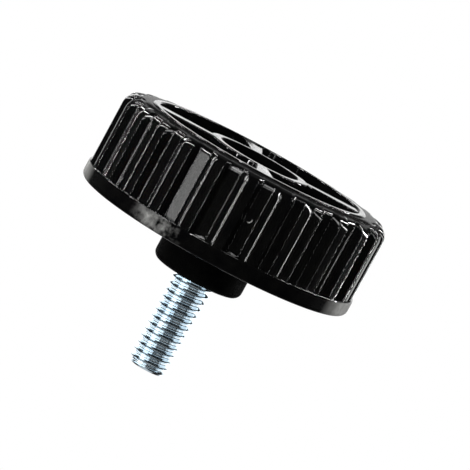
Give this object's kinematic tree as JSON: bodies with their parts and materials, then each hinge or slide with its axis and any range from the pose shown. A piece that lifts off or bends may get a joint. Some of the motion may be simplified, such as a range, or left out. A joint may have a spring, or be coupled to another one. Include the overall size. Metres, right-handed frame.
{
  "type": "adjustable appliance foot",
  "caption": "Fluted round plastic foot, hollow underneath with spokes and a hub, on a fixed threaded steel stud that screws into an appliance to level it.",
  "frame": {"origin": "centre of the rim's lip, on the floor", "axes": "+Z along the stud, away from the floor; a rib lies on +X and the spokes lie on the diagonals"},
  "size_m": [0.04, 0.04, 0.0322],
  "materials": {
    "black_plastic": "semi-gloss black moulding",
    "zinc_steel": "bright blue-white zinc plate"
  },
  "bodies": {
    "root": {"foot_body": "black_plastic", "hex_bolt": "zinc_steel"}
  },
  "joints": []
}
